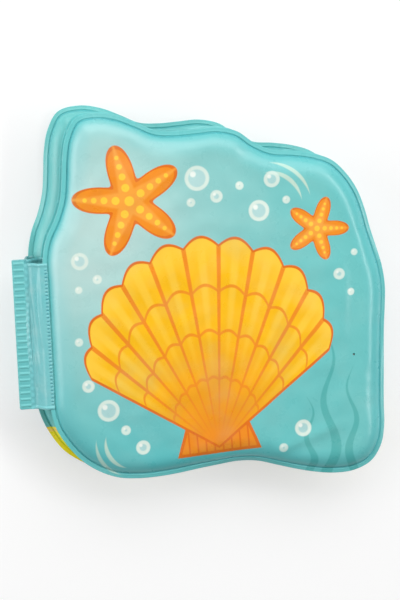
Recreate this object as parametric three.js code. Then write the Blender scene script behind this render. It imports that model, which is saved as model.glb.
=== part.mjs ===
// A soft bath book. Three die-cut leaves, each two vinyl films welded round a foam sheet,
// hang on thin tabs that run together into one ribbed weld bar along the spine.
// Millimetres. The closed book lies on its back cover: +Z up, +Y to the top of the page.
import * as THREE from 'three';

// Leaves
const leafWidth = 147.5; // from the hinge line to the outermost edge
const leafHeight = 161;
const leafThickness = 9;
const leafGap = 0.2; // air between two closed leaves
const filmThickness = 0.35;
const rimWidth = 2.1; // flat weld round the leaf
const shoulderWidth = 9.5; // from the weld up to the flat face
const foamClearance = 0.3;
const pageRise = 0.4; // how far up the spine the page is welded, from the cover's place
const backRise = 1.6; // and the back leaf
const backGrowth = 1.5; // how far the back leaf's edge lies outside the others' outline
const growthStart = 12; // from the hinge line to where it lies outside in full

// Spine
const hingeGap = 0.3; // width of the bending line between a leaf and its tab
const tabReach = 7.2; // from the cover's and the page's hinge lines to the bar
const backTabReach = 2.7; // from the back leaf's hinge line to the bar
const tabBend = 2.8; // how far out a tab turns down to the bar
const backTabBend = 1.3; // how far out the back leaf's tab turns up
const tabBottomMargin = 0.3; // a tab stops short of the hinge line's lower end
const tabTopMargin = 1.5; // and of its upper end
const tabLayerGap = 0.1; // air between two films of the tabs
const barWidth = 5.2;
const barRise = 3.5; // how far the bar lies above the middle of the page
const barFilms = 6; // films fused in the bar
const ribPitch = 2.75;
const ribHeight = 0.3;
const ribCrest = 1.2;
const ribFlank = 0.4;

// Squeaker in the front cover
const ventRadius = 0.5;
const ventHeight = -16.9; // measured up the page from the middle of the spine
const ventMargin = 3; // from the edge of the flat face
const squeakerRadius = 11;
const squeakerHeight = -20;
const squeakerMargin = 1;
const squeakerWall = 0.8;
const squeakerWaist = 0.9; // depth of the bellows' fold
const pocketClearance = 0.4;
const whistleRadius = 2.4;
const whistleBore = 1.3;
const whistleLength = 3.6;
const whistleFlange = 1.2;
const whistleFlangeThickness = 0.4;
const reedThickness = 0.25;
const seatClearance = 0.3;

// Fineness of the curved surfaces
const outlineSteps = 54;
const filmSteps = 3;
const foamSteps = 2;
const tabSteps = 8;
const roundSteps = 24;
const ventSteps = 8;
const normalPasses = 2;

const halfThickness = leafThickness / 2;
const leafPitch = leafThickness + leafGap;
const leaves = {
  back: {
    layer: 0, hinge: backTabReach - tabReach, rise: backRise, growth: backGrowth, bend: backTabBend,
  },
  page: { layer: 1, hinge: 0, rise: pageRise, growth: 0, bend: tabBend },
  cover: { layer: 2, hinge: 0, rise: 0, growth: 0, bend: tabBend },
};
const middleOf = ({ layer }) => halfThickness + layer * leafPitch;
const barMiddle = middleOf(leaves.page) + barRise;
const crownInset = rimWidth + shoulderWidth;
const insideHalf = halfThickness - filmThickness - foamClearance;
const pocketRadius = squeakerRadius + pocketClearance;

// The leaf's wavy edge, anticlockwise from the lower end of the hinge line to its upper end.
const drawnEdge = [
  [0, -32.1], [2.2, -40.8], [11.4, -54.2], [26, -63], [44.3, -64.4], [66.8, -62], [85.4, -61],
  [104.3, -66], [122.2, -69.3], [137, -66.7], [144.7, -55.4], [145.5, -35.4], [146.4, -10.4],
  [147.4, 14.3], [141.7, 35.8], [136, 54.1], [124.8, 67.4], [108.8, 71.6], [95.5, 73.5],
  [86.7, 80.2], [76.1, 83.2], [61.1, 82.4], [49.1, 83.3], [37.2, 88.9], [25.4, 91.5],
  [15.1, 88.3], [10.6, 74.7], [9, 58.2], [5.1, 46.4], [1.2, 38.6], [0, 31.7],
].map(([x, y]) => new THREE.Vector2(x, y));

function leafEdge() {
  const drawn = new THREE.Box2().setFromPoints(drawnEdge).getSize(new THREE.Vector2());
  const stretch = new THREE.Vector2(leafWidth, leafHeight).divide(drawn);
  const points = drawnEdge.map((point) => point.clone().multiply(stretch));
  return new THREE.SplineCurve(points).getSpacedPoints(outlineSteps);
}

// Directions into the leaf, evened out so that the rings inside the edge don't cross.
function inwardDirections(edge) {
  const count = edge.length;
  const steps = edge.map((point, i) => edge[(i + 1) % count].clone().sub(point).normalize());
  let inward = steps.map((step, i) => {
    const along = step.clone().add(steps[(i + count - 1) % count]).normalize();
    return new THREE.Vector2(-along.y, along.x);
  });
  for (let pass = 0; pass < normalPasses; pass += 1) {
    inward = inward.map((direction, i) => direction.clone().multiplyScalar(2)
      .add(inward[(i + 1) % count])
      .add(inward[(i + count - 1) % count])
      .normalize());
  }
  return inward;
}

const edge = leafEdge();
const inward = inwardDirections(edge);
const tabBottom = edge[0].y + tabBottomMargin;
const tabTop = edge[edge.length - 1].y - tabTopMargin;

// A ring inside a leaf's edge, which its growth takes outwards everywhere but at the hinge line.
function ring(growth, inset, z) {
  return edge.map((point, i) => {
    const outset = growth * THREE.MathUtils.smoothstep(point.x, 0, growthStart);
    const moved = point.clone().addScaledVector(inward[i], inset - outset);
    return new THREE.Vector3(moved.x, moved.y, z);
  });
}

// How far the leaf's outer edge lies from the hinge line at a height up the page.
function outerEdgeAt(y) {
  const crossings = edge.slice(1).map((point, i) => [edge[i], point])
    .filter(([low, high]) => (low.y - y) * (high.y - y) <= 0)
    .map(([low, high]) => THREE.MathUtils.mapLinear(y, low.y, high.y, low.x, high.x));
  return Math.max(...crossings);
}

function circle(centre, radius, steps) {
  return Array.from({ length: steps }, (_, i) => {
    const angle = (2 * Math.PI * i) / steps;
    return new THREE.Vector2(Math.cos(angle), Math.sin(angle)).multiplyScalar(radius).add(centre);
  });
}

// A closed solid through rings of equally many points, the first one facing down and the last one
// up. A hole, given as an outline, goes through both end faces.
function loft(rings, hole = []) {
  const count = rings[0].length;
  const ends = [rings[0], rings[rings.length - 1]];
  const holeRings = ends.map(
    (end) => hole.map((point) => new THREE.Vector3(point.x, point.y, end[0].z)),
  );
  const points = [...rings.flat(), ...holeRings.flat()];
  const index = [];
  const strip = (lower, upper, size, turned) => {
    for (let i = 0; i < size; i += 1) {
      const next = (i + 1) % size;
      const corners = [lower + i, lower + next, upper + next, upper + i];
      const [a, b, c, d] = turned ? corners.reverse() : corners;
      index.push(a, b, c, a, c, d);
    }
  };
  for (let level = 0; level < rings.length - 1; level += 1) {
    strip(level * count, (level + 1) * count, count, false);
  }
  const holeStart = rings.length * count;
  strip(holeStart, holeStart + hole.length, hole.length, true);
  const holes = hole.length > 0 ? [hole] : [];
  ends.forEach((end, which) => {
    const first = which * (rings.length - 1) * count;
    const firstHole = holeStart + which * hole.length;
    const place = (i) => (i < count ? first + i : firstHole + i - count);
    const flat = [...end, ...hole];
    for (const [a, b, c] of THREE.ShapeUtils.triangulateShape(end, holes)) {
      const facesUp = THREE.ShapeUtils.area([flat[a], flat[b], flat[c]]) > 0;
      const order = facesUp === (which === 1) ? [a, b, c] : [a, c, b];
      index.push(...order.map(place));
    }
  });
  const geometry = new THREE.BufferGeometry().setFromPoints(points);
  geometry.setIndex(index);
  geometry.computeVertexNormals();
  return geometry;
}

// The shoulder is a quarter of an ellipse from the weld up to the flat face. The margin moves it
// into the leaf, from the film's outer side to its inner side or to the foam.
function shoulder(growth, foot, height, margin, steps) {
  return Array.from({ length: steps + 1 }, (_, i) => {
    const angle = (Math.PI / 2) * (i / steps);
    const inset = rimWidth + margin + (shoulderWidth - margin) * (1 - Math.cos(angle));
    return ring(growth, inset, foot + (height - foot) * Math.sin(angle));
  });
}

const upsideDown = (rings) => rings
  .map((points) => points.map((point) => new THREE.Vector3(point.x, point.y, -point.z)))
  .reverse();

function filmRings(growth) {
  const outside = shoulder(growth, filmThickness, halfThickness, 0, filmSteps);
  const inside = shoulder(growth, 0, halfThickness - filmThickness, filmThickness, filmSteps);
  return [...inside.reverse(), ring(growth, 0, 0), ring(growth, 0, filmThickness), ...outside];
}

function foamRings(growth) {
  const margin = filmThickness + foamClearance;
  const upper = shoulder(growth, 0, insideHalf, margin, foamSteps);
  return [...upsideDown(upper.slice(1)), ...upper];
}

function sheet(name, geometry, color, roughness) {
  const material = new THREE.MeshStandardMaterial({ color, roughness, metalness: 0 });
  const mesh = new THREE.Mesh(geometry, material);
  mesh.name = name;
  return mesh;
}

const colours = {
  aqua: 0x73c6c6,
  paleAqua: 0x9fd6d4,
  sand: 0xf0c52c,
  foam: 0xf4efe2,
  bar: 0x6cb9bc,
  squeaker: 0xf7f5ee,
  whistle: 0xe8e8e6,
};
const vinylRoughness = 0.38;
const foamRoughness = 0.95;
const plasticRoughness = 0.45;

function leaf(name, frontColour, frontHole, foamHole) {
  const { hinge, rise, growth } = leaves[name];
  const group = new THREE.Group();
  group.position.set(hinge + hingeGap / 2, rise, middleOf(leaves[name]));
  group.add(
    sheet(`${name}_front_film`, loft(filmRings(growth), frontHole), frontColour, vinylRoughness),
    sheet(`${name}_back_film`, loft(upsideDown(filmRings(growth))), colours.paleAqua, vinylRoughness),
    sheet(`${name}_foam`, loft(foamRings(growth), foamHole), colours.foam, foamRoughness),
  );
  return group;
}

// Each tab leaves its hinge level, drops or climbs, and comes level again at the bar, where the
// tabs of the three leaves lie on one another.
function tabPath(place) {
  const above = place.layer - leaves.page.layer;
  const start = new THREE.Vector2(place.hinge - hingeGap / 2, middleOf(place));
  const end = new THREE.Vector2(-tabReach, barMiddle + above * 2 * (filmThickness + tabLayerGap));
  const startPull = new THREE.Vector2(start.x - place.bend, start.y);
  const endPull = new THREE.Vector2(start.x - place.bend, end.y);
  return new THREE.CubicBezierCurve(start, startPull, endPull, end);
}

function tabFilm(path, side) {
  const near = (side * tabLayerGap) / 2;
  const far = near + side * filmThickness;
  const offset = (distance) => Array.from({ length: tabSteps + 1 }, (_, i) => {
    const along = path.getTangent(i / tabSteps);
    const across = new THREE.Vector2(along.y, -along.x);
    return path.getPoint(i / tabSteps).addScaledVector(across, distance);
  });
  return new THREE.Shape([...offset(near), ...offset(far).reverse()]);
}

function tabs(name) {
  const path = tabPath(leaves[name]);
  const options = { depth: tabTop - tabBottom, bevelEnabled: false };
  const film = (side) => new THREE.ExtrudeGeometry(tabFilm(path, side), options);
  const group = new THREE.Group();
  group.position.y = tabTop + leaves[name].rise;
  group.rotation.x = Math.PI / 2;
  group.add(
    sheet(`${name}_front_tab`, film(1), colours.aqua, vinylRoughness),
    sheet(`${name}_back_tab`, film(-1), colours.paleAqua, vinylRoughness),
  );
  return group;
}

// The bar is all the tabs' films fused, with cross ribs pressed into both faces.
function bindingBar(bottom, top) {
  const core = (barFilms * filmThickness + (barFilms - 1) * tabLayerGap) / 2;
  const crest = core + ribHeight;
  const ribCount = Math.floor((top - bottom) / ribPitch);
  const firstMiddle = (bottom + top - (ribCount - 1) * ribPitch) / 2;
  const ribs = Array.from({ length: ribCount }, (_, i) => {
    const middle = firstMiddle + i * ribPitch;
    return [
      new THREE.Vector2(middle - ribCrest / 2 - ribFlank, core),
      new THREE.Vector2(middle - ribCrest / 2, crest),
      new THREE.Vector2(middle + ribCrest / 2, crest),
      new THREE.Vector2(middle + ribCrest / 2 + ribFlank, core),
    ];
  });
  const face = [new THREE.Vector2(bottom, core), ...ribs.flat(), new THREE.Vector2(top, core)];
  const under = face.map((point) => new THREE.Vector2(point.x, -point.y));
  const shape = new THREE.Shape([...under, ...face.reverse()]);
  const mesh = sheet(
    'binding_bar',
    new THREE.ExtrudeGeometry(shape, { depth: barWidth, bevelEnabled: false }),
    colours.bar,
    vinylRoughness,
  );
  mesh.rotation.set(Math.PI / 2, Math.PI / 2, 0);
  mesh.position.set(-tabReach - barWidth, 0, barMiddle);
  return mesh;
}

// A small bellows with a whistle in its upper face and a reed across the whistle's bore.
function squeaker(centre) {
  const half = insideHalf;
  const neck = whistleRadius + seatClearance;
  const bulge = half / 2;
  const faceRadius = squeakerRadius - squeakerWall;
  const bellowsTop = half - whistleFlangeThickness - seatClearance;
  const shell = (inset) => [
    new THREE.Vector2(faceRadius - inset, -half + inset),
    new THREE.Vector2(squeakerRadius - inset, -bulge),
    new THREE.Vector2(squeakerRadius - squeakerWaist - inset, 0),
    new THREE.Vector2(squeakerRadius - inset, bulge),
    new THREE.Vector2(faceRadius - inset, bellowsTop - inset),
    new THREE.Vector2(neck, bellowsTop - inset),
  ];
  const onAxis = (z) => new THREE.Vector2(0, z);
  const bellows = [
    onAxis(-half),
    ...shell(0),
    ...shell(squeakerWall).reverse(),
    onAxis(-half + squeakerWall),
  ];
  const flangeRadius = whistleRadius + whistleFlange;
  const flangeFoot = half - whistleFlangeThickness;
  const whistle = [
    new THREE.Vector2(whistleBore, half - whistleLength),
    new THREE.Vector2(whistleRadius, half - whistleLength),
    new THREE.Vector2(whistleRadius, flangeFoot),
    new THREE.Vector2(flangeRadius, flangeFoot),
    new THREE.Vector2(flangeRadius, half),
    new THREE.Vector2(whistleBore, half),
    new THREE.Vector2(whistleBore, half - whistleLength),
  ];
  const reedWidth = 2 * (whistleBore - seatClearance);
  const reed = new THREE.BoxGeometry(reedWidth, reedThickness, whistleLength);
  const lathe = (profile) => new THREE.LatheGeometry(profile, roundSteps).rotateX(Math.PI / 2);
  const reedMesh = sheet('squeaker_reed', reed, colours.whistle, plasticRoughness);
  reedMesh.position.z = half - whistleLength / 2;
  const group = new THREE.Group();
  group.position.set(centre.x, centre.y, 0);
  group.add(
    sheet('squeaker_bellows', lathe(bellows), colours.squeaker, plasticRoughness),
    sheet('squeaker_whistle', lathe(whistle), colours.whistle, plasticRoughness),
    reedMesh,
  );
  return group;
}

const vent = new THREE.Vector2(outerEdgeAt(ventHeight) - crownInset - ventMargin, ventHeight);
const pocketReach = crownInset + pocketRadius + squeakerMargin;
const pocket = new THREE.Vector2(outerEdgeAt(squeakerHeight) - pocketReach, squeakerHeight);

const cover = leaf(
  'cover',
  colours.aqua,
  circle(vent, ventRadius, ventSteps),
  circle(pocket, pocketRadius, roundSteps),
);
cover.add(squeaker(pocket));
const page = leaf('page', colours.aqua);
const back = leaf('back', colours.sand);

const rises = Object.values(leaves).map(({ rise }) => rise);
const book = new THREE.Group();
book.add(
  cover,
  page,
  back,
  tabs('cover'),
  tabs('page'),
  tabs('back'),
  bindingBar(tabBottom + Math.min(...rises), tabTop + Math.max(...rises)),
);

// The origin is under the middle of the closed book, on the surface that it lies on.
const extent = new THREE.Box3().setFromObject(book, true);
const middle = extent.getCenter(new THREE.Vector3());
book.position.set(-middle.x, -middle.y, -extent.min.z);

export default book;
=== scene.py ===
import math

import bmesh
import bpy
import numpy as np
from mathutils import Matrix, Vector, noise
from mathutils.geometry import delaunay_2d_cdt


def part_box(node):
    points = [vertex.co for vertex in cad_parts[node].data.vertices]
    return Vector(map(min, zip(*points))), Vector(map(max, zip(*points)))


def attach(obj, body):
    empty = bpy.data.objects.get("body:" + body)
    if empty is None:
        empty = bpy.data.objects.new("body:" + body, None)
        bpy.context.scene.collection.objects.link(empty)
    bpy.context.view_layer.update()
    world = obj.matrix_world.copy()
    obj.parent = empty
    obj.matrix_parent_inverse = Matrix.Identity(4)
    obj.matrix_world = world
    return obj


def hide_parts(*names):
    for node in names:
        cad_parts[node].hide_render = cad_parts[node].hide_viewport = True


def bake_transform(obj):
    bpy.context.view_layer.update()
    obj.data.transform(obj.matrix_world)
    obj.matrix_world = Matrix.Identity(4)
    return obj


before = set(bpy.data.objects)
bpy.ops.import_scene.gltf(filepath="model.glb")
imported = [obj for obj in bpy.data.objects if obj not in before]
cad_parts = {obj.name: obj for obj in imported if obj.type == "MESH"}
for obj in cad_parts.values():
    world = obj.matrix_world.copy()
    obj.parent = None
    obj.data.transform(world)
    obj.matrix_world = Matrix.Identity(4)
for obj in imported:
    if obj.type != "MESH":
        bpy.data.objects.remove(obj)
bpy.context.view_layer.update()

# Leaf skins
# A leaf is two vinyl sheets, die-cut to one wavy outline and welded together round a foam sheet.
# From its edge a sheet runs flat for the weld, up a small lip into the groove that the tool pressed,
# and swells over a soft shoulder to the face, where it lies a little slack on the foam.
MM = 0.001
film_thickness = 0.35 * MM
edge_count = 400
edge_gap = 1.5  # an edge stretch this many times the usual length is the straight hinge line
curve_steps = 12
inward_passes = 60
weld_profile = (  # inset from the edge, height over the weld's middle and lip in mm, and the share of painted shade in the groove
    (0.00, 0.24, 0.00, 0.0),
    (0.08, 0.33, 0.00, 0.0),
    (0.30, 0.36, 0.00, 0.0),
    (1.00, 0.35, 0.00, 0.0),
    (1.40, 0.36, 0.15, 0.0),
    (1.60, 0.36, 0.17, 0.0),
    (1.75, 0.34, 0.09, 0.0),
    (1.95, 0.22, 0.00, 0.7),
    (2.15, 0.16, 0.00, 1.0),
    (2.35, 0.22, 0.00, 1.0),
)
shoulder_foot = 2.35
shoulder_width = 9.25
foot_height = 0.22
crown_height = 4.1  # before it swells
shoulder_shares = (0.015, 0.04, 0.08, 0.13, 0.19, 0.26, 0.34, 0.43, 0.53, 0.64, 0.76, 0.88, 1.0)
shoulder_bow = 2.2
shoulder_fullness = 0.62
crown_spacing = 2.0 * MM
cloth_spacing = 4.0 * MM
cloth_frames = 20
cloth_limit = 0.45 * MM  # as far as the film may rise from its first shape
cloth_sink = 0.15 * MM
cloth_blur = 2.2 * MM
cloth_waver = 0.05 * MM  # a first unevenness, from which the slack starts
cloth_waver_size = 11 * MM
shoulder_hold, crown_hold = 0.04, 0.3  # how firmly the film is held, where 1 is pinned
film_gap = 0.02 * MM  # between a film's inner side and the weld's middle
groove_share = 0.05  # of the shoulder's width, over which the groove's painted shade fades
bare_share = 0.3  # of the shoulder's width, over which a print's paler or deeper water begins, and the front cover's painted sheen with it
rim_shade_share = 0.5  # the share of the shoulders' painted shade that the weld takes
hinge_fade = 3 * MM  # along the hinge line the film runs on, so the weld fades out there
rim_curls = {  # where a soft rim curls down: place from the leaf's left and lower edge, reach and drop, in mm
    "cover": ((84, 5, 20, 1.7), (142, 74, 20, 1.2), (140, 20, 10, 0.5), (20, 30, 12, 0.3)),
    "page": ((56, 4, 20, 0.7), (136, 44, 18, 0.6), (70, 150, 20, 0.4)),
    "back": ((96, 4, 18, 0.6), (132, 112, 20, 0.5), (8, 128, 26, 1.2), (13, 14, 15, 1.2)),
}


def leaf_edge(film, middle):
    """Corners of a leaf's wavy edge, anticlockwise, read from the upright edge wall of its film."""
    corners = [vertex.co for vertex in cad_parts[film].data.vertices]
    near = 0.02 * MM
    level = [c for c in corners if abs(c.z - middle) < near]
    raised = [c for c in corners if abs(abs(c.z - middle) - film_thickness) < near]
    wall = [c.xy for c in level if any((c.xy - r.xy).length < 5 * near for r in raised)]
    centre = sum(wall, Vector((0, 0))) / len(wall)
    wall.sort(key=lambda c: math.atan2(c.y - centre.y, c.x - centre.x))
    return [c for i, c in enumerate(wall) if (c - wall[i - 1]).length > 20 * near]


def even_loop(corners, count):
    """Evenly spaced points on a smooth closed curve through the corners, straight on the hinge line."""
    steps = [(corners[i] - corners[i - 1]).length for i in range(len(corners))]
    usual = sorted(steps)[len(steps) // 2]
    filled = []
    for i, corner in enumerate(corners):
        parts = round(steps[i] / usual) if steps[i] > edge_gap * usual else 1
        filled += [corners[i - 1].lerp(corner, part / parts) for part in range(1, parts + 1)]
    before = np.array(filled)
    a, b, c, d = (np.roll(before, 1 - k, axis=0)[:, None, :] for k in range(4))
    t = (np.arange(curve_steps) / curve_steps)[None, :, None]
    curve = b + t * (c - a + t * (2 * a - 5 * b + 4 * c - d + t * (3 * (b - c) + d - a))) / 2
    curve = curve.reshape(-1, 2)
    closed = np.vstack([curve, curve[:1]])
    along = np.concatenate([[0], np.cumsum(np.linalg.norm(np.diff(closed, axis=0), axis=1))])
    wanted = along[-1] * np.arange(count) / count
    return np.column_stack([np.interp(wanted, along, closed[:, k]) for k in range(2)])


def inward_directions(loop):
    """Directions into the leaf, evened out so that the rings inside its edge don't cross."""
    along = np.roll(loop, -1, axis=0) - np.roll(loop, 1, axis=0)
    inward = np.column_stack([-along[:, 1], along[:, 0]])
    for _ in range(inward_passes):
        inward = inward / np.linalg.norm(inward, axis=1)[:, None]
        inward = (2 * inward + np.roll(inward, 1, axis=0) + np.roll(inward, -1, axis=0)) / 4
    return inward / np.linalg.norm(inward, axis=1)[:, None]


def crown_fill(loop, spacing):
    """Points inside a loop on a triangle grid, and the faces over them and the loop."""
    low, high = loop.min(axis=0), loop.max(axis=0)
    row_step = spacing * math.sqrt(3) / 2
    grid = [
        (low[0] + (column + (row % 2) / 2) * spacing, low[1] + row * row_step)
        for row in range(int((high[1] - low[1]) / row_step) + 1)
        for column in range(int((high[0] - low[0]) / spacing) + 1)
    ]
    grid = np.array(grid)
    ends = np.roll(loop, -1, axis=0)
    crossed = np.zeros(len(grid), bool)
    for (x0, y0), (x1, y1) in zip(loop, ends):
        if y0 != y1:
            spans = (y0 > grid[:, 1]) != (y1 > grid[:, 1])
            crossed ^= spans & (grid[:, 0] < x0 + (grid[:, 1] - y0) * (x1 - x0) / (y1 - y0))
    away = np.linalg.norm(grid[:, None, :] - loop[None, :, :], axis=2).min(axis=1)
    inner = grid[crossed & (away > 0.65 * spacing)]
    points = [Vector(p) for p in np.vstack([loop, inner])]
    made = delaunay_2d_cdt(points, [], [list(range(len(loop)))], 1, 1e-7)
    source = [origins[0] for origins in made[3]]
    return inner, [[source[corner] for corner in face] for face in made[2]]


def ring_faces(rings, count):
    """Faces between closed rings of points that follow one another, each with this count."""
    faces = []
    for start in range(0, (rings - 1) * count, count):
        for i in range(count):
            after = (i + 1) % count
            faces.append((start + i, start + after, start + count + after, start + count + i))
    return faces


def shoulder_height(share):
    """Height in mm over the weld's middle, for a share of the way from the groove to the crown."""
    rise = (1 - (1 - np.clip(share, 0, 1)) ** shoulder_bow) ** shoulder_fullness
    return foot_height + (crown_height - foot_height) * rise


def sheet_piece(name, points, faces):
    """A new mesh object at the origin, with its place in its mesh."""
    mesh = bpy.data.meshes.new(name)
    mesh.from_pydata([tuple(p) for p in points], [], faces)
    mesh.update()
    piece = bpy.data.objects.new(name, mesh)
    bpy.context.scene.collection.objects.link(piece)
    return piece


def choose(piece):
    """Makes a piece the only one selected, and the active one."""
    bpy.ops.object.select_all(action="DESELECT")
    piece.select_set(True)
    bpy.context.view_layer.objects.active = piece


def finish_with(piece, kind, **settings):
    """Adds a modifier to a piece and applies it."""
    choose(piece)
    modifier = piece.modifiers.new(kind.title(), kind)
    for setting, value in settings.items():
        setattr(modifier, setting, value)
    bpy.ops.object.modifier_apply(modifier=modifier.name)


def punch_hole(piece, place, radius, depth, sides):
    """Cuts an upright round hole into a piece."""
    bpy.ops.object.select_all(action="DESELECT")
    bpy.ops.mesh.primitive_cylinder_add(vertices=sides, radius=radius, depth=depth, location=place)
    punch = bpy.context.object
    finish_with(piece, "BOOLEAN", operation="DIFFERENCE", object=punch, solver="EXACT")
    bpy.data.objects.remove(punch)


def mark(piece, name, values):
    """Stores one number for each point of a piece, for its material to read."""
    piece.data.attributes.new(name, "FLOAT", "POINT").data.foreach_set("value", values)


def cloth_rise(foot, points, seed):
    """How far a film rises or sinks at some points when it is welded round its edge with a little
    spare width and the foam swells under it: a cloth simulation of a coarse sheet."""
    edge = foot[::3]
    inner, faces = crown_fill(edge, cloth_spacing)
    flat = np.vstack([edge, inner])
    away = np.array([np.linalg.norm(foot - p, axis=1).min() for p in flat])
    share = np.clip(away / (shoulder_width * MM), 0, 1)
    share[:len(edge)] = 0
    waver = [noise.noise(Vector((x, y, 0)) / cloth_waver_size + Vector((0, 0, seed))) for x, y in flat]
    rise = shoulder_height(share) * MM + cloth_waver * np.array(waver) * (share > 0)
    film = sheet_piece("slack_film", np.column_stack([flat, rise]), faces)
    held = film.vertex_groups.new(name="held")
    for i, s in enumerate(share):
        firmness = 1.0 if i < len(edge) else shoulder_hold + crown_hold * float(s) ** 3
        held.add([i], firmness, "REPLACE")
    cloth = film.modifiers.new("Cloth", "CLOTH")
    cloth.settings.quality = 6
    cloth.settings.mass = 0.01
    cloth.settings.tension_stiffness = 20
    cloth.settings.compression_stiffness = 20
    cloth.settings.shear_stiffness = 8
    cloth.settings.bending_stiffness = 0.6
    cloth.settings.vertex_group_mass = "held"
    cloth.settings.shrink_min = -0.03
    cloth.settings.use_pressure = True
    cloth.settings.uniform_pressure_force = 2
    cloth.settings.effector_weights.gravity = 0
    cloth.point_cache.frame_start = 1
    cloth.point_cache.frame_end = cloth_frames
    for frame_number in range(1, cloth_frames + 1):
        bpy.context.scene.frame_set(frame_number)
    settled = film.evaluated_get(bpy.context.evaluated_depsgraph_get()).data
    height = np.empty(3 * len(flat))
    settled.vertices.foreach_get("co", height)
    change = np.clip(height[2::3] - rise, -cloth_sink, cloth_limit)
    bpy.data.objects.remove(film)
    bpy.context.scene.frame_set(1)
    risen = []
    for some in np.array_split(points, 20):
        near = np.exp(-(np.linalg.norm(some[:, None] - flat[None], axis=2) / cloth_blur) ** 2 / 2) + 1e-12
        risen.append((near * change).sum(axis=1) / near.sum(axis=1))
    return np.concatenate(risen)


def pull_rise(spots, pulls):
    """How far a film stands up at some spots in the soft ridges where it is drawn over the foam."""
    rise = np.zeros(len(spots))
    for start, end, height, half_width in pulls:
        along = (np.array(end) - start) * MM
        start = np.array(start) * MM
        share = np.clip((spots - start) @ along / (along @ along), 0, 1)
        aside = np.linalg.norm(spots - start - share[:, None] * along, axis=1)
        rise += height * MM * np.sin(np.pi * share) * np.exp(-(aside / (half_width * MM)) ** 2)
    return rise


def film_skin(leaf, side, seed, pulls=()):
    """The front or back vinyl sheet of a leaf, with its outer side up or down."""
    film = f"{leaf}_{side}_film"
    facing = 1 if side == "front" else -1
    low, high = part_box(film)
    middle = low.z if facing > 0 else high.z
    loop = even_loop(leaf_edge(film, middle), edge_count)
    inward = inward_directions(loop)
    from_hinge = np.clip((loop[:, 0] - low.x) / hinge_fade, 0, 1)
    curl = np.zeros(edge_count)
    for across, rise, reach, drop in rim_curls[leaf]:
        away = np.hypot(loop[:, 0] - low.x - across * MM, loop[:, 1] - low.y - rise * MM)
        curl += drop * MM * np.exp(-(away / (reach * MM)) ** 2) * from_hinge
    rings, heights, groove_shading, sloped, bare, curled = [], [], [], [], [], []
    for inset, height, lip, painted_shade in weld_profile:
        curled.append(curl * (1 - inset / shoulder_foot))
        rings.append(loop + inward * inset * MM)
        heights.append((height + lip * from_hinge) * MM)
        groove_shading.append(painted_shade * from_hinge)
        sloped.append(np.full(edge_count, rim_shade_share))
        bare.append(np.ones(edge_count))
    for share in shoulder_shares:
        rings.append(loop + inward * (shoulder_foot + share * shoulder_width) * MM)
        heights.append(np.full(edge_count, shoulder_height(share) * MM))
        groove_shading.append(from_hinge * max(0.0, 1 - share / groove_share))
        sloped.append(np.full(edge_count, 1 - share))
        bare.append(np.full(edge_count, max(0.0, 1 - share / bare_share)))
    inner, crown_faces = crown_fill(rings[-1], crown_spacing)
    points = np.vstack([*rings, inner])
    up = np.concatenate([*heights, np.full(len(inner), crown_height * MM)])
    welded = len(weld_profile) * edge_count
    up[welded:] += cloth_rise(loop + inward * shoulder_foot * MM, points[welded:], seed)
    up[welded:] += pull_rise(points[welded:] - np.array(low.xy), pulls)
    faces = ring_faces(len(rings), edge_count)
    last = (len(rings) - 1) * edge_count
    faces += [[last + corner for corner in face] for face in crown_faces]
    if facing < 0:
        faces = [list(reversed(face)) for face in faces]
    skin = sheet_piece(f"{leaf}_{side}_skin", np.column_stack([points, middle + facing * up]), faces)
    # the painted shade in the weld's groove, for the material to darken by
    mark(skin, "weld", np.concatenate([*groove_shading, np.zeros(len(inner))]))
    # how far down the shoulder a point lies, which sets its painted shade
    mark(skin, "slope", np.concatenate([*sloped, np.zeros(len(inner))]))
    mark(skin, "bare", np.concatenate([*bare, np.zeros(len(inner))]))
    finish_with(skin, "SOLIDIFY", thickness=film_thickness, offset=-1)
    curled = np.concatenate([*curled, np.zeros(len(points) - welded)])
    for vertex in skin.data.vertices:
        if (vertex.co.z - middle) * facing < film_gap:
            vertex.co.z = middle + facing * film_gap
        vertex.co.z -= curled[vertex.index % len(points)]  # the inner side's points follow the outer side's
    choose(skin)
    bpy.ops.object.shade_smooth_by_angle(angle=math.radians(50))
    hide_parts(film)
    return skin


# Printed vinyl
# The films are coloured vinyl with a satin gloss, printed on the outside before welding. A print is
# flat inks laid one over another. Painted shade darkens the weld's groove and deepens the shoulders.
aqua = (112, 196, 194)
deep_aqua = (92, 180, 178)
deep_water = (88, 188, 190)
pale_aqua = (190, 219, 214)
groove_shade = (226, 244, 250)  # painted shade in the weld's groove, laid over what is printed under it
# painted shade up the shoulders, which leaves them deeper and cooler than the face
shoulder_shade = (226, 250, 255)
yellow = (252, 190, 6)
amber = (255, 204, 60)
orange = (242, 142, 24)
deep_orange = (228, 112, 16)
foam_white = (226, 238, 226)
bubble_fill = (190, 221, 219)
# sand yellow: a printed colour, lightened with painted light where the leaves above shade it
lightened_sand_yellow = (255, 240, 20)
ink_softness = 0.3  # mm over which one ink gives way to the next


def ink_colour(rgb):
    """A printed colour, given in 0 to 255, as a shader takes it."""
    shares = [value / 255 for value in rgb]
    return [s / 12.92 if s <= 0.04045 else ((s + 0.055) / 1.055) ** 2.4 for s in shares] + [1.0]


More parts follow.
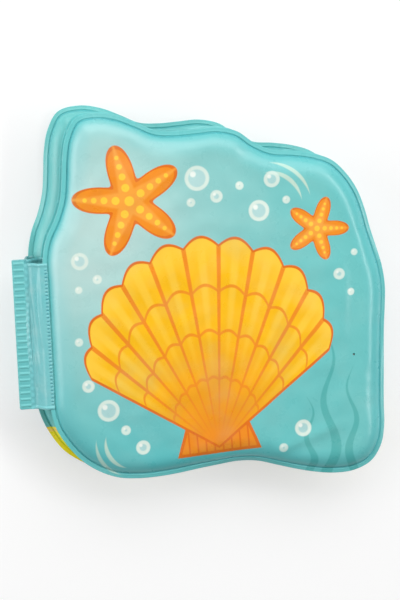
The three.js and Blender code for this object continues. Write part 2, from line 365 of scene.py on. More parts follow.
class Measure:
    """A number that a material works out at each point, so that an ink's edge is plain arithmetic."""

    def __init__(self, tree, socket):
        self.tree = tree
        self.socket = socket

    def worked(self, operation, *others, clamp=False):
        node = self.tree.nodes.new("ShaderNodeMath")
        node.operation = operation
        node.use_clamp = clamp
        for place, value in zip(node.inputs, (self, *others)):
            if isinstance(value, Measure):
                self.tree.links.new(value.socket, place)
            else:
                place.default_value = value
        return Measure(self.tree, node.outputs[0])

    def __add__(self, other):
        return self.worked("ADD", other)

    def __sub__(self, other):
        return self.worked("SUBTRACT", other)

    def __mul__(self, other):
        return self.worked("MULTIPLY", other)

    def __truediv__(self, other):
        return self.worked("DIVIDE", other)

    def __abs__(self):
        return self.worked("ABSOLUTE")

    def least(self, other):
        return self.worked("MINIMUM", other)

    def most(self, other):
        return self.worked("MAXIMUM", other)

    def sine(self):
        return self.worked("SINE")

    def cosine(self):
        return self.worked("COSINE")

    def power(self, exponent):
        return self.worked("POWER", exponent)

    def folded(self, half):
        return self.worked("PINGPONG", half)

    def share(self, start, end):
        """0 at start and 1 at end, and level outside them."""
        scale = 1 / (end - start)
        return self.worked("MULTIPLY_ADD", scale, -start * scale, clamp=True)

    def within(self, softness=ink_softness):
        """The cover of an ink whose edge lies where this distance is 0, and which fills what is below."""
        return self.worked("MULTIPLY_ADD", -1 / softness, 0.5, clamp=True)


class VinylPrint:
    """A vinyl material whose inks are placed in mm from the left and lower edge of its leaf."""

    def __init__(self, name, ground, corner):
        self.material = bpy.data.materials.new(name)
        self.material.use_nodes = True
        self.tree = self.material.node_tree
        self.shader = self.tree.nodes["Principled BSDF"]
        self.place = self.tree.nodes.new("ShaderNodeTexCoord").outputs["Object"]
        sizing = self.tree.nodes.new("ShaderNodeMapping")
        sizing.vector_type = "TEXTURE"
        sizing.inputs["Location"].default_value = (corner.x, corner.y, 0)
        sizing.inputs["Scale"].default_value = (MM, MM, MM)
        self.tree.links.new(self.place, sizing.inputs["Vector"])
        apart = self.tree.nodes.new("ShaderNodeSeparateXYZ")
        self.tree.links.new(sizing.outputs["Vector"], apart.inputs["Vector"])
        self.across = Measure(self.tree, apart.outputs["X"])
        self.up = Measure(self.tree, apart.outputs["Y"])
        flat = self.tree.nodes.new("ShaderNodeCombineXYZ")
        self.tree.links.new(self.across.socket, flat.inputs["X"])
        self.tree.links.new(self.up.socket, flat.inputs["Y"])
        self.spot = flat.outputs["Vector"]
        base = self.tree.nodes.new("ShaderNodeRGB")
        base.outputs[0].default_value = ink_colour(ground)
        self.colour = base.outputs[0]

    def ink(self, rgb, cover, how="MIX"):
        """Lays an ink over what is printed so far."""
        mix = self.tree.nodes.new("ShaderNodeMix")
        mix.data_type = "RGBA"
        mix.blend_type = how
        mix.clamp_result = True
        self.tree.links.new(cover.socket, mix.inputs["Factor"])
        self.tree.links.new(self.colour, mix.inputs["A"])
        mix.inputs["B"].default_value = ink_colour(rgb)
        self.colour = mix.outputs["Result"]

    def distance_to(self, across, up):
        node = self.tree.nodes.new("ShaderNodeVectorMath")
        node.operation = "DISTANCE"
        self.tree.links.new(self.spot, node.inputs[0])
        node.inputs[1].default_value = (across, up, 0)
        return Measure(self.tree, node.outputs["Value"])

    def turned(self, across, up, degrees):
        """Places across and along a motif that stands on a point, leaning left by some degrees."""
        c, s = math.cos(math.radians(degrees)), math.sin(math.radians(degrees))
        du, dv = self.across - across, self.up - up
        return du * c + dv * s, dv * c - du * s

    def marked(self, name):
        """A number that is stored for each point of the piece."""
        node = self.tree.nodes.new("ShaderNodeAttribute")
        node.attribute_name = name
        return Measure(self.tree, node.outputs["Fac"])

    def grain(self, size, detail=2.0):
        """A soft random pattern with spots of about this many mm."""
        node = self.tree.nodes.new("ShaderNodeTexNoise")
        node.inputs["Scale"].default_value = 1 / (size * MM)
        node.inputs["Detail"].default_value = detail
        self.tree.links.new(self.place, node.inputs["Vector"])
        return Measure(self.tree, node.outputs["Fac"])

    def finished(self, gloss=0.29, shade_shoulders=True):
        """The painted shade in the weld's groove and up the shoulders, a faint unevenness of colour, and the
        film's satin surface. Without the shoulders' painted shade, the shoulder keeps the print's own colour."""
        # painted shade, darker in the weld's groove
        self.ink(groove_shade, self.marked("weld").share(0.0, 1.0), "MULTIPLY")
        if shade_shoulders:
            # painted shade up the shoulders
            self.ink(shoulder_shade, self.marked("slope"), "MULTIPLY")
        cloudy = self.grain(18, 3.0)
        self.ink(deep_aqua, cloudy.share(0.45, 0.8) * 0.16)
        self.ink(foam_white, cloudy.share(0.5, 0.2) * 0.07)
        self.tree.links.new(self.colour, self.shader.inputs["Base Color"])
        worn = self.grain(6, 4.0) * 0.14 + (gloss - 0.07)
        self.tree.links.new(worn.socket, self.shader.inputs["Roughness"])
        pebble = self.grain(0.9, 1.0) * 0.25 + self.grain(4.5, 1.0)
        bump = self.tree.nodes.new("ShaderNodeBump")
        bump.inputs["Strength"].default_value = 0.10
        bump.inputs["Distance"].default_value = 0.4 * MM
        self.tree.links.new(pebble.socket, bump.inputs["Height"])
        self.tree.links.new(bump.outputs["Normal"], self.shader.inputs["Normal"])
        self.shader.inputs["Specular IOR Level"].default_value = 0.38
        return self.material


def polar(across, along):
    """Distance from a motif's foot, and the angle off its own axis."""
    radius = (across * across + along * along).power(0.5)
    return radius, across.worked("ARCTAN2", along)


def print_water_tone_and_sheen(sheet, across, up, reach, rgb=pale_aqua, strength=0.9):
    """Paler or deeper water round a point, which stops short of the weld: a printed tone, which on the front
    cover also stands in for light as a painted sheen.
    """
    near = sheet.distance_to(across, up).share(reach, reach * 0.15)
    sheet.ink(rgb, near * near * sheet.marked("bare").share(1.0, 0.0) * strength)


def print_bubbles(sheet, places):
    """Pale round bubbles, each with a lighter ring and a small shine."""
    bubble, shine = None, None
    for across, up, radius in places:
        edge = sheet.distance_to(across, up) - radius
        bubble = edge if bubble is None else bubble.least(edge)
        lit = sheet.distance_to(across - 0.32 * radius, up + 0.34 * radius) - 0.24 * radius
        shine = lit if shine is None else shine.least(lit)
    sheet.ink(bubble_fill, bubble.within(0.5) * 0.75)
    sheet.ink(foam_white, (abs(bubble + 0.75) - 0.75).within(0.6) * 0.85)
    sheet.ink((244, 248, 240), shine.within(0.6) * 0.9)


def print_scallop(sheet, across, up, lean, size):
    """A fan shell: eleven ribs spread from its foot, with growth rings and a scalloped edge."""
    rib = math.radians(10)
    half_fan = math.radians(55)
    x, y = sheet.turned(across, up, lean)
    ear = (abs(x) + y * 0.35 - 0.2 * size).most(abs(y - 0.045 * size) - 0.07 * size)
    sheet.ink(deep_orange, ear.within())
    sheet.ink(orange, (ear + 0.016 * size).within())
    groove = (x + 0.021 * size).folded(0.021 * size) - 0.004 * size
    sheet.ink(deep_orange, groove.within() * ear.within())
    radius, angle = polar(x, y)
    lobes = abs((angle * (math.pi / rib)).cosine()) * 0.045 + 1
    edge = angle.cosine().power(0.6) * lobes * size
    grown = radius / edge
    fan = ((radius - edge) * 0.9).most((abs(angle) - half_fan) * radius)
    inside = fan.within()
    sheet.ink(deep_orange, inside)
    body = (fan + 0.013 * size).within()
    sheet.ink(yellow, body)
    sheet.ink(orange, body * grown.share(0.62, 0.05))
    sheet.ink(amber, body * grown.share(0.84, 0.97) * 0.9)
    crest = angle.folded(rib / 2) * radius - grown * 0.022 * size
    sheet.ink(amber, body * crest.within(1.2) * grown.share(0.3, 0.75) * 0.8)
    for ring in (0.34, 0.56, 0.77):
        line = abs(grown - ring) * size - 0.0075 * size
        sheet.ink(orange, body * line.within() * 0.9)
    seam = (angle - rib / 2).folded(rib / 2) * radius - (grown * 0.009 + 0.002) * size
    sheet.ink(orange, body * seam.within())


def print_starfish(sheet, across, up, lean, size):
    """A five-armed star with round tips and a row of spots down each arm."""
    arm = math.radians(72)
    x, y = sheet.turned(across, up, lean)
    radius, angle = polar(x, y)
    edge = ((angle * 5).cosine() * 0.29 + 0.71) * size
    star = (radius - edge) * 0.72
    sheet.ink(deep_orange, star.within())
    sheet.ink(orange, (star + 0.05 * size).within())
    off_axis = angle.folded(arm / 2)
    out, aside = off_axis.cosine() * radius, off_axis.sine() * radius
    sheet.ink((249, 164, 58), (aside + out * 0.16 - 0.17 * size).within(1.0) * star.within())
    spots = None
    for place, spot_size in ((0.0, 0.085), (0.24, 0.07), (0.44, 0.06), (0.62, 0.05), (0.78, 0.038)):
        from_spot = polar(aside, out - place * size)[0] - spot_size * size
        spots = from_spot if spots is None else spots.least(from_spot)
    sheet.ink(amber, spots.within())


def print_weed(sheet, across, foot, height, sway, width):
    """A ribbon of weed that tapers upwards in slow waves, a shade darker than the water."""
    risen = sheet.up - foot
    bend = (risen * (2 * math.pi / (0.62 * height))).sine() * sway
    thin = risen.share(height, 0) * width
    ribbon = abs(sheet.across - across - bend) - thin
    cover = ribbon.within(0.5) * risen.share(height, height * 0.98)
    sheet.ink((78, 172, 168), cover * 0.75)


def print_swish(sheet, across, up, radius, towards, spread, width):
    """A thin pale arc of moving water, pointed at both ends."""
    x, y = sheet.turned(across, up, towards)
    out, angle = polar(x, y)
    taper = (angle / math.radians(spread)).power(2.0) * -width + width
    sheet.ink((206, 226, 208), (abs(out - radius) - taper).within(0.5) * 0.85)


def print_sand(sheet, level):
    """A sea floor of yellow sand with a wavy edge and a few darker grains."""
    wave = (sheet.across * 0.075).sine() * 3.2 + (sheet.across * 0.19 + 1.2).sine() * 1.3
    bank = sheet.up - wave - level
    sheet.ink(lightened_sand_yellow, bank.within(0.4))
    sheet.ink((255, 222, 104), (abs(bank + 1.4) - 0.8).within(0.5))
    grains = sheet.grain(1.6, 0.0).share(0.66, 0.70)
    sheet.ink(orange, grains * bank.within() * 0.5)


def print_waves(sheet, spacing, height, rgb):
    """Rows of thin waves all over a sheet."""
    crest = (sheet.across * (2 * math.pi / 30)).sine() * height
    line = (sheet.up + crest).folded(spacing / 2) - 0.55
    sheet.ink(rgb, line.within(0.5) * 0.55)


# Front cover
# The top leaf of the book. Its outer sheet has the large print and a small vent hole, which a pin
# punch makes over the squeaker, and its inner sheet is a paler one with rows of waves.
cover_pulls = (  # a ridge's ends from the leaf's left and lower edge, its height and half width, in mm
    ((94, 12), (132, 25), 0.8, 2.4),
    ((128, 100), (127, 52), 0.5, 2.2),
    ((13, 116), (30, 142), 0.45, 2.2),
    ((12, 34), (36, 15), 0.5, 2.4),
)
cover_front = film_skin("cover", "front", 1.0, cover_pulls)
cover_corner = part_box("cover_front_film")[0]
art = VinylPrint("cover_print", aqua, cover_corner)
# deeper water at the lower left, and paler water at the upper left that is partly print and partly a painted
# sheen
print_water_tone_and_sheen(art, 40, 10, 110, deep_water, 0.7)
print_water_tone_and_sheen(art, 18, 112, 118)
print_weed(art, 120, 4, 62, 2.6, 2.6)
print_weed(art, 130, 4, 44, -2.0, 2.1)
print_weed(art, 111, 2, 34, 1.8, 2.0)
print_swish(art, 34, 22, 12, 120, 42, 0.9)
print_swish(art, 34, 22, 16, 122, 36, 0.8)
print_swish(art, 96, 118, 15, -38, 40, 0.9)
print_swish(art, 96, 118, 19, -40, 34, 0.8)
print_scallop(art, 71, 16, 3, 88)
print_starfish(art, 37, 124, 14, 24)
print_starfish(art, 117, 108, -20, 14)
print_bubbles(art, (
    (66, 132, 5.2), (74, 124, 2.6), (63, 122, 1.8), (84, 128, 1.7), (98, 130, 3.4),
    (92, 117, 4.4), (104, 121, 1.6), (15, 100, 3.6), (22, 92, 1.9), (14, 88, 1.5),
    (24, 36, 4.6), (16, 47, 2.6), (31, 27, 2.0), (38, 19, 3.0), (126, 88, 2.4),
    (131, 80, 1.5), (108, 22, 3.6), (99, 14, 1.9), (133, 97, 1.4), (13, 66, 1.7),
))
cover_front.data.materials.append(art.finished())

vent_radius = 0.5 * MM
low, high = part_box("cover_front_film")
face = [v.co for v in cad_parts["cover_front_film"].data.vertices if v.co.z > high.z - 0.01 * MM]
vent_edge = [c for c in face if any(vent_radius < (c - other).length < 3 * vent_radius for other in face)]
vent = sum(vent_edge, Vector((0, 0, 0))) / len(vent_edge)
punch_hole(cover_front, vent, vent_radius, 3 * MM, 20)
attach(cover_front, "front_cover")

cover_back = film_skin("cover", "back", 2.0)
art = VinylPrint("cover_inside_print", (150, 212, 210), cover_corner)
print_waves(art, 12, 1.6, (206, 232, 226))
print_bubbles(art, ((30, 118, 5), (41, 126, 2.4), (112, 96, 6), (122, 84, 2.6), (28, 44, 4), (100, 30, 3)))
print_starfish(art, 72, 74, 8, 30)
cover_back.data.materials.append(art.finished())
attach(cover_back, "front_cover")

# Middle page
# A leaf made as the covers are, between them, with a fan shell printed on each side. The upper side
# is open water with weed and rows of waves, and the lower side is sea floor with sand along the bottom.
page_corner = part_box("page_front_film")[0]
page_front = film_skin("page", "front", 3.0)
art = VinylPrint("page_front_print", aqua, page_corner)
print_water_tone_and_sheen(art, 30, 130, 90)
print_weed(art, 26, 14, 72, 2.6, 2.8)
print_weed(art, 118, 14, 82, -2.6, 2.8)
print_waves(art, 14, 1.8, (140, 212, 210))
print_scallop(art, 72, 44, 5, 54)
print_bubbles(art, ((50, 104, 6), (62, 116, 3), (92, 96, 4.4), (104, 108, 2.4), (36, 124, 2.6)))
page_front.data.materials.append(art.finished())
page_back = film_skin("page", "back", 4.0)
art = VinylPrint("page_back_print", aqua, page_corner)
print_water_tone_and_sheen(art, 110, 120, 90)
print_sand(art, 28)
print_scallop(art, 70, 34, -6, 58)
print_bubbles(art, ((34, 112, 5), (46, 122, 2.6), (108, 108, 5.4), (118, 94, 2.8)))
page_back.data.materials.append(art.finished())
for skin in (page_front, page_back):
    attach(skin, "spine_page")

# Back cover
# The leaf that the closed book lies on, set a little nearer the spine bar than the others. Its inner
# side has yellow sand along the bottom, which shows past the front cover at the lower left.
back_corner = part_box("back_front_film")[0]
back_front = film_skin("back", "front", 5.0)
art = VinylPrint("back_inside_print", aqua, back_corner)
print_weed(art, 110, 20, 66, 2.4, 2.8)
print_sand(art, 24)
print_starfish(art, 44, 84, 20, 20)
print_bubbles(art, ((84, 100, 6), (96, 112, 3), (74, 116, 2.2), (112, 104, 2.4)))
# no painted shade on this sheet's shoulders, so that its sand keeps its yellow
back_front.data.materials.append(art.finished(shade_shoulders=False))
back_back = film_skin("back", "back", 6.0)
art = VinylPrint("back_outside_print", aqua, back_corner)
print_waves(art, 15, 2.0, (140, 212, 210))
print_scallop(art, 72, 44, 0, 52)
print_bubbles(art, ((34, 116, 5), (46, 126, 2.4), (106, 116, 4), (116, 102, 2.2), (30, 40, 3)))
back_back.data.materials.append(art.finished())
for skin in (back_front, back_back):
    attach(skin, "back_cover")

# Tabs
# Thin strips of the same vinyl that run from each leaf's hinge edge to the spine bar. The weld along
# the hinge is a row of small teeth, the ends are rolled into a raised bead, and the free film between
# lies in long slanting creases.
tab_layer_gap = 0.1 * MM
tab_bends = {"cover": 2.8 * MM, "page": 2.8 * MM, "back": 1.3 * MM}
hinge_gap = 0.3 * MM
lap = 1.9 * MM  # how far a tab lies on its leaf's rim
bar_lap = 1.0 * MM  # how far it runs into the bar
bar_dip = 0.15 * MM
tab_row_step = 0.25 * MM
lap_steps = 9
bend_steps = 30
tooth_pitch = 1.55 * MM
tooth_height = 0.3 * MM
tooth_row = (-1.6 * MM, -0.6 * MM)  # where the teeth begin and end, from the hinge
tooth_fade = 0.3 * MM
plain_bottom, plain_top, plain_fade = 1.6 * MM, 2.0 * MM, 0.8 * MM  # the row's ends, without teeth
bead_height = 0.42 * MM
bead_width = 1.5 * MM
crease_height = 0.5 * MM
crease_width = 0.55 * MM
creases = (  # distances from the hinge at a crease's top, middle and bottom, and its two ends' heights, in mm
    ((2.5, 2.6, 1.7), (14.0, -18.0)),
    ((5.6, 6.9, 5.8), (5.0, -32.0)),
    ((5.5, 4.5, 3.2), (3.0, -30.0)),
    ((5.3, 4.8, 4.7), (-11.0, -35.0)),
)
tab_taller = {"cover": 0.0, "page": 1.2 * MM, "back": 0.0}
notch_share = 0.85  # of the painted notch shade between the teeth
past_bottom_share, past_top_share = 0.125, 0.0625  # of the same darkening on the film past each end's bead
rib_pitch = 2.75 * MM
rib_mark_height, rib_mark_place, rib_mark_width = 0.3 * MM, 0.5 * MM, 0.45 * MM  # ribs' marks beside the bar
hinge_reach = 0.6 * MM


def smooth_step(value, start, end):
    t = np.clip((value - start) / (end - start), 0, 1)
    return t * t * (3 - 2 * t)


def tab_line(film, facing, level, bend):
    """A tab's outer side in section, from the leaf's rim to the bar: places, outward directions and
    distances from the hinge line, in metres."""
    film_low, film_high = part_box(film)
    bar_low, bar_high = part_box("binding_bar")
    middle = film_low.z if facing > 0 else film_high.z
    hinge = film_low.x - hinge_gap / 2
    end = Vector((bar_high.x, (bar_low.z + bar_high.z) / 2 + level * 2 * (film_thickness + tab_layer_gap)))
    start = Vector((hinge - hinge_gap / 2, middle))
    pull = start.x - bend
    stops = [start, Vector((pull, start.y)), Vector((pull, end.y)), end]
    line = [Vector((hinge + lap * (1 - i / lap_steps), middle)) for i in range(lap_steps)]
    for i in range(bend_steps + 1):
        t = i / bend_steps
        weights = ((1 - t) ** 3, 3 * t * (1 - t) ** 2, 3 * t * t * (1 - t), t ** 3)
        line.append(sum((w * s for w, s in zip(weights, stops)), Vector((0, 0))))
    line.append(Vector((end.x - bar_lap, end.y - level * bar_dip)))
    line = np.array(line)
    along = np.gradient(line, axis=0)
    along /= np.linalg.norm(along, axis=1)[:, None]
    outward = facing * np.column_stack([along[:, 1], -along[:, 0]])
    line = line + outward * (tab_layer_gap / 2 + film_thickness)
    return line, outward, hinge - line[:, 0], hinge


def tab_relief(from_hinge, y, bottom, top, to_bar):
    """How far the film stands out at a grid of distances from the hinge and heights up the row."""
    s, h = from_hinge[:, None], y[None, :]
    tooth = smooth_step(np.cos(2 * np.pi * h / tooth_pitch), -0.85, -0.15)
    row = smooth_step(s, tooth_row[0] - tooth_fade / 2, tooth_row[0] + tooth_fade / 2)
    row = row * smooth_step(s, tooth_row[1] + tooth_fade / 2, tooth_row[1] - tooth_fade / 2)
    clear = smooth_step(h, bottom + plain_bottom, bottom + plain_bottom + plain_fade)
    clear = clear * smooth_step(h, top - plain_top, top - plain_top - plain_fade)
    teeth = tooth_height * tooth * row * clear
    below = np.clip((h - bottom) / bead_width, 0, 1)
    above = np.clip((top - h) / bead_width, 0, 1)
    bead = bead_height * (np.sin(np.pi * below) ** 0.8 + 0.6 * np.sin(np.pi * above) ** 0.8)
    bead = bead * smooth_step(to_bar[:, None], -0.5 * MM, 4 * MM)
    relief = teeth + bead
    for (s_top, s_middle, s_bottom), (h_top, h_bottom) in creases:
        t = np.clip((h / MM - h_top) / (h_bottom - h_top), 0, 1)
        bow = 4 * s_middle - 2 * (s_top + s_bottom)
        centre = (s_top * (1 - t) + s_bottom * t + bow * t * (1 - t)) * MM
        fade = np.sin(np.pi * t) ** 0.6
        relief = relief + crease_height * fade * np.exp(-((s - centre) / crease_width) ** 2)
    ridge = 0.55 + 0.45 * np.cos(2 * np.pi * (h - bottom) / rib_pitch)
    beside_bar = np.exp(-((to_bar[:, None] - rib_mark_place) / rib_mark_width) ** 2)
    relief = relief + rib_mark_height * ridge * beside_bar
    # painted shade in the notches between the teeth, and a lighter darkening past the beads
    notch = (1 - tooth) * row * clear * notch_share
    past_bottom, past_top = (np.clip(20 * end - 19, 0, 1) for end in (below, above))
    return relief, np.clip(notch + past_bottom * past_bottom_share + past_top * past_top_share, 0, 1)


def tab_sheet(leaf, side, level):
    """One tab film, as a fine sheet with its relief on the side that faces out of the spine."""
    tab = f"{leaf}_{side}_tab"
    facing = 1 if side == "front" else -1
    tab_low, tab_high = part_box(tab)
    bottom, top = tab_low.y, tab_high.y + tab_taller[leaf]
    line, outward, from_hinge, hinge = tab_line(f"{leaf}_{side}_film", facing, level, tab_bends[leaf])
    to_bar = line[:, 0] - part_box("binding_bar")[1].x
    y = np.linspace(bottom, top, int((top - bottom) / tab_row_step) + 1)
    relief, painted_shade = tab_relief(from_hinge, y, bottom, top, to_bar)
    xz = line[:, None, :] + outward[:, None, :] * relief[:, :, None]
    grid = np.stack([xz[:, :, 0], np.broadcast_to(y, relief.shape), xz[:, :, 1]], axis=2)
    rows, columns = relief.shape
    faces = []
    for r in range(rows - 1):
        for c in range(columns - 1):
            corners = (r * columns + c, r * columns + c + 1, (r + 1) * columns + c + 1, (r + 1) * columns + c)
            faces.append(corners if facing > 0 else corners[::-1])
    strip = sheet_piece(f"{tab}_film", grid.reshape(-1, 3), faces)
    mark(strip, "weld", painted_shade.ravel())
    finish_with(strip, "SOLIDIFY", thickness=film_thickness, offset=-1)
    choose(strip)
    bpy.ops.object.shade_smooth_by_angle(angle=math.radians(50))
    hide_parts(tab)
    return strip, hinge


# painted shade in the tabs' notches, laid over their colour
notch_shade = (186, 214, 218)
# the tabs' ground is paler than the leaves' vinyl, partly painted light that makes up for the shade on their
# slope
tab_vinyl = VinylPrint("tab_vinyl", (124, 200, 202), cover_corner)
tab_vinyl.ink(pale_aqua, tab_vinyl.grain(9, 2.0).share(0.5, 0.85) * 0.4)
tab_vinyl.ink(notch_shade, tab_vinyl.marked("weld").share(0.0, 1.0), "MULTIPLY")
tab_vinyl = tab_vinyl.finished(0.28)
moving_body = {"cover": "front_cover", "back": "back_cover"}
for level, leaf in ((1, "cover"), (0, "page"), (-1, "back")):
    for side in ("front", "back"):
        strip, hinge = tab_sheet(leaf, side, level)
        strip.data.materials.append(tab_vinyl)
        if leaf in moving_body:
            hinge - hinge_reach
            hinge + hinge_reach
            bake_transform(strip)
        else:
            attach(strip, "spine_page")

# Spine bar
# The ends of all six tab films, fused into one stiff bar by a ribbed welding tool, which leaves
# cross ribs on both faces and rounded outer corners.
rib_width = 2.0 * MM
rib_flank = 0.55 * MM
rib_height = 0.3 * MM
bar_corner = 0.6 * MM
bar_round = 0.16 * MM
rib_end = 0.35 * MM


def pick(piece, wanted):
    """Selects the faces of a piece in edit mode for which wanted says yes."""
    made = bmesh.from_edit_mesh(piece.data)
    for face in made.faces:
        face.select_set(False)
    for face in made.faces:
        face.select_set(wanted(face.calc_center_median(), face.normal))
    bmesh.update_edit_mesh(piece.data)


bar_low, bar_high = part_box("binding_bar")
bar_core = (bar_high.z - bar_low.z) - 2 * rib_height
bpy.ops.object.select_all(action="DESELECT")
bpy.ops.mesh.primitive_cube_add(size=1, location=(bar_low + bar_high) / 2)
bar = bpy.context.object
bar.name = bar.data.name = "spine_bar"
bar.scale = (bar_high.x - bar_low.x, bar_high.y - bar_low.y, bar_core)
bpy.ops.object.transform_apply(location=True, rotation=True, scale=True)
bar_length = bar_high.y - bar_low.y
rib_count = int(bar_length / rib_pitch + 1e-6)
first_rib = (bar_low.y + bar_high.y - (rib_count - 1) * rib_pitch) / 2
rib_middles = [first_rib + i * rib_pitch for i in range(rib_count)]
bpy.ops.object.mode_set(mode="EDIT")
bpy.ops.mesh.select_mode(type="EDGE")
corners = bmesh.from_edit_mesh(bar.data)
for edge in corners.edges:
    a, b = (vertex.co for vertex in edge.verts)
    outer = max(a.x, b.x) < bar_low.x + bar_corner
    edge.select_set(outer and abs(a.z - b.z) > bar_core / 2)
bmesh.update_edit_mesh(bar.data)
bpy.ops.mesh.bevel(offset=bar_corner, segments=5, affect="EDGES")
bpy.ops.mesh.select_mode(type="FACE")
for rib in rib_middles:
    for side in (-1, 1):
        bpy.ops.mesh.select_all(action="SELECT")
        bpy.ops.mesh.bisect(plane_co=(0, rib + side * rib_width / 2, 0), plane_no=(0, 1, 0))
pick(bar, lambda c, n: abs(n.z) > 0.9 and min(abs(c.y - rib) for rib in rib_middles) < rib_width / 4)
bpy.ops.mesh.inset(thickness=rib_end, depth=0, use_individual=True)
bpy.ops.mesh.inset(thickness=rib_flank - rib_end / 2, depth=rib_height, use_individual=True)
bpy.ops.object.mode_set(mode="OBJECT")
finish_with(bar, "BEVEL", width=bar_round, segments=2, limit_method="ANGLE", angle_limit=math.radians(25))
choose(bar)
bpy.ops.object.shade_smooth_by_angle(angle=math.radians(40))
bar_vinyl = VinylPrint("weld_bar", (112, 194, 194), cover_corner)
valley = (bar_vinyl.up - (first_rib - cover_corner.y) / MM - rib_pitch / MM / 2).folded(rib_pitch / MM / 2)
# painted shade in the valleys between the ribs
bar_vinyl.ink((84, 166, 170), (valley - 0.45).within(0.6) * 0.35)
bar_vinyl = bar_vinyl.finished(0.36)
bar.data.materials.append(bar_vinyl)
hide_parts("binding_bar")
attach(bar, "spine_page")

# Foam sheets
# Each leaf is filled with a soft open-cell foam sheet, cut to the same outline inside the weld and
# pressed thin at its edge. The one in the front cover has a round pocket for the squeaker.
foam_count = 200
foam_clearance = 0.65  # mm to the outside of the film
foam_spacing = 4.0 * MM
foam_room = 0.35 * MM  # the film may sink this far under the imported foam's face
foam_shares = (0.0, 0.06, 0.16, 0.3, 0.5, 0.75, 1.0)
pocket_clearance = 0.4 * MM


def foam_sheet(name, node, film):
    """A leaf's foam: rings up each shoulder, and both faces filled."""
    low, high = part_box(node)
    middle, half = (low.z + high.z) / 2, (high.z - low.z) / 2 - foam_room
    loop = even_loop(leaf_edge(film, middle), foam_count)
    inward = inward_directions(loop)
    foot = shoulder_foot + foam_clearance
    rings = []
    for share in foam_shares:
        rise = math.sqrt(1 - (1 - share) ** 2)
        inset = foot + share * (shoulder_foot + shoulder_width - foot)
        rings.append((loop + inward * inset * MM, half * rise))
    inner, crown_faces = crown_fill(rings[-1][0], foam_spacing)
    stack = [(ring, -rise) for ring, rise in reversed(rings)] + rings[1:]
    points = [(x, y, middle + rise) for ring, rise in stack for x, y in ring]
    faces = ring_faces(len(stack), foam_count)
    for side, first in ((-1, 0), (1, (len(stack) - 1) * foam_count)):
        base = len(points)
        points += [(x, y, middle + side * half) for x, y in inner]
        place = [first + i for i in range(foam_count)] + [base + i for i in range(len(inner))]
        faces += [[place[c] for c in (face if side > 0 else face[::-1])] for face in crown_faces]
    pad = sheet_piece(name, points, faces)
    choose(pad)
    bpy.ops.object.shade_smooth_by_angle(angle=math.radians(50))
    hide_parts(node)
    return pad


def mottled(name, kind, size, tones, strength, depth):
    """A material with a pattern of some size that runs between two tones and stands out a little: the
    material, its shader and the pattern."""
    material = bpy.data.materials.new(name)
    material.use_nodes = True
    tree = material.node_tree
    shader = tree.nodes["Principled BSDF"]
    pattern = tree.nodes.new(kind)
    pattern.inputs["Scale"].default_value = 1 / size
    tree.links.new(tree.nodes.new("ShaderNodeTexCoord").outputs["Object"], pattern.inputs["Vector"])
    value = pattern.outputs[0]
    tone = tree.nodes.new("ShaderNodeMix")
    tone.data_type = "RGBA"
    tree.links.new(value, tone.inputs["Factor"])
    for end, rgb in zip("AB", tones):
        tone.inputs[end].default_value = ink_colour(rgb)
    tree.links.new(tone.outputs["Result"], shader.inputs["Base Color"])
    bump = tree.nodes.new("ShaderNodeBump")
    bump.inputs["Strength"].default_value = strength
    bump.inputs["Distance"].default_value = depth
    tree.links.new(value, bump.inputs["Height"])
    tree.links.new(bump.outputs["Normal"], shader.inputs["Normal"])
    return material, shader, pattern


foam_tones = ((206, 196, 168), (246, 241, 226))
open_cell_foam, foam_shader, _ = mottled(
    "open_cell_foam", "ShaderNodeTexVoronoi", 1.1 * MM, foam_tones, 0.6, 0.4 * MM
)
foam_shader.inputs["Roughness"].default_value = 0.95
foam_shader.inputs["Specular IOR Level"].default_value = 0.2
foam_body = {"cover": "front_cover", "page": "spine_page", "back": "back_cover"}
for leaf, body in foam_body.items():
    pad = foam_sheet(f"{leaf}_foam_sheet", f"{leaf}_foam", f"{leaf}_front_film")
    if leaf == "cover":
        low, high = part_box("squeaker_bellows")
        pocket_radius = (high.x - low.x) / 2 + pocket_clearance
        punch_hole(pad, (low + high) / 2, pocket_radius, 20 * MM, 48)
    pad.data.materials.append(open_cell_foam)
    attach(pad, body)

# Squeaker
# A small soft bellows in the front cover's foam, with a whistle pushed into its upper face and a
# thin reed across the whistle's bore. Pressing the cover blows air through the vent.


def moulded(name, rgb, roughness, grain_size):
    """Moulded plastic with a faint flow pattern in its colour and gloss."""
    tones = (rgb, [0.9 * value for value in rgb])
    material, shader, flow = mottled(name, "ShaderNodeTexNoise", grain_size, tones, 0.08, 0.2 * MM)
    flow.inputs["Detail"].default_value = 3
    tree = material.node_tree
    gloss = Measure(tree, flow.outputs["Fac"]) * 0.15 + (roughness - 0.07)
    tree.links.new(gloss.socket, shader.inputs["Roughness"])
    return material


squeaker_finish = {
    "squeaker_bellows": moulded("bellows_plastic", (247, 245, 238), 0.45, 3 * MM),
    "squeaker_whistle": moulded("whistle_plastic", (232, 232, 230), 0.35, 1.5 * MM),
    "squeaker_reed": moulded("reed_film", (226, 230, 232), 0.3, 1 * MM),
}
for node, material in squeaker_finish.items():
    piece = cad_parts[node]
    piece.data.materials.clear()
    piece.data.materials.append(material)

# Studio
# The book lies on a pale sweep that curves up all round, under one large soft light from beyond its
# top edge, a smaller one at the left and a narrow strip at the right. It is seen from almost straight above.
look_from = Vector((-0.176, 0.14, 1.0)).normalized()
look_at = Vector((-1.7, -2.05, 22.9)) * MM
roll = math.radians(2.42)
camera_distance = 0.709
camera_lens = 100.0

camera = bpy.data.objects.new("camera", bpy.data.cameras.new("camera"))
bpy.context.scene.collection.objects.link(camera)
camera.data.lens = camera_lens
camera.data.sensor_width = 36.0
right = Vector((math.sin(roll), math.cos(roll), 0)).cross(look_from).normalized()
axes = Matrix((right, look_from.cross(right), look_from)).transposed()
camera.matrix_world = Matrix.Translation(look_at + look_from * camera_distance) @ axes.to_4x4()
bpy.context.scene.camera = camera

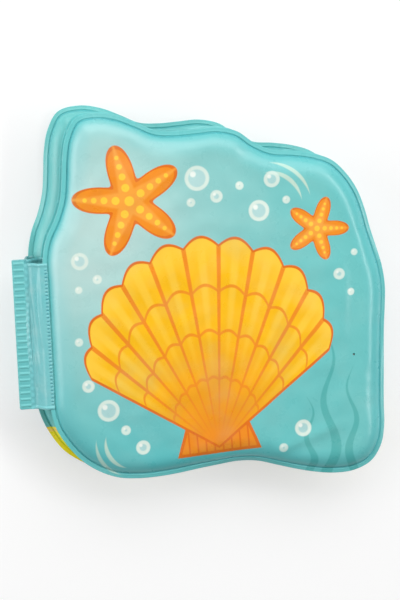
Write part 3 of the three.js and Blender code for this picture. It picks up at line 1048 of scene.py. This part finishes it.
bpy.ops.object.select_all(action="DESELECT")
floor_radius, sweep_radius, sweep_steps = 2.0, 0.4, 8
bpy.ops.mesh.primitive_circle_add(vertices=96, radius=floor_radius, fill_type="NGON")
floor = bpy.context.object
floor.name = "floor"
bpy.ops.object.mode_set(mode="EDIT")
bpy.ops.mesh.select_mode(type="EDGE")
reach = floor_radius
for step in range(1, sweep_steps + 1):
    angle = math.radians(90) * step / sweep_steps
    made = bmesh.from_edit_mesh(floor.data)
    for edge in made.edges:
        edge.select_set(edge.is_boundary)
    bmesh.update_edit_mesh(floor.data)
    bpy.ops.mesh.extrude_edges_move()
    wanted = floor_radius + sweep_radius * math.sin(angle)
    rise = sweep_radius * (math.cos(angle - math.radians(90) / sweep_steps) - math.cos(angle))
    bpy.ops.transform.resize(value=(wanted / reach, wanted / reach, 1))
    bpy.ops.transform.translate(value=(0, 0, rise))
    reach = wanted
bpy.ops.object.mode_set(mode="OBJECT")
choose(floor)
bpy.ops.object.shade_smooth()
paper_glow = 0.55  # the share of plain white that is seen in the paper, which pales the book's shadow
paper = bpy.data.materials.new("pale_paper")
paper.use_nodes = True
paper_tree = paper.node_tree
paper_shader = paper_tree.nodes["Principled BSDF"]
paper_shader.inputs["Base Color"].default_value = (0.95, 0.95, 0.95, 1)
paper_shader.inputs["Roughness"].default_value = 0.9
paper_shader.inputs["Specular IOR Level"].default_value = 0.1
light_path = paper_tree.nodes.new("ShaderNodeLightPath")
in_view, in_gloss, through_glass = (
    Measure(paper_tree, light_path.outputs[f"Is {ray} Ray"]) for ray in ("Camera", "Glossy", "Transmission")
)
seen = in_view.most(in_gloss).most(through_glass) * paper_glow
white = paper_tree.nodes.new("ShaderNodeEmission")
paled = paper_tree.nodes.new("ShaderNodeMixShader")
paper_tree.links.new(seen.socket, paled.inputs["Fac"])
paper_tree.links.new(paper_shader.outputs["BSDF"], paled.inputs[1])
paper_tree.links.new(white.outputs["Emission"], paled.inputs[2])
paper_tree.links.new(paled.outputs["Shader"], paper_tree.nodes["Material Output"].inputs["Surface"])
floor.data.materials.append(paper)

light_aim = Vector((0, 0, 0.02))


def softbox(name, place, size, power):
    """A rectangular soft light that faces the book."""
    light = bpy.data.lights.new(name, "AREA")
    light.shape = "RECTANGLE"
    light.size, light.size_y = size
    light.energy = power
    lamp = bpy.data.objects.new(name, light)
    lamp.location = place
    lamp.rotation_euler = (Vector(place) - light_aim).to_track_quat("Z", "Y").to_euler()
    bpy.context.scene.collection.objects.link(lamp)


softbox("top_light", (0.1, 0.8, 0.78), (1.6, 0.8), 11.9)
softbox("left_light", (-0.76, 0.08, 0.38), (0.6, 0.4), 3.8)
softbox("right_light", (0.63, 0.06, 0.67), (0.7, 0.06), 3.4)

world = bpy.data.worlds.new("studio_air")
bpy.context.scene.world = world
world.use_nodes = True
air = world.node_tree.nodes["Background"]
air.inputs["Color"].default_value = (1, 1, 1, 1)
air.inputs["Strength"].default_value = 0.1
bpy.context.scene.view_settings.view_transform = "Standard"
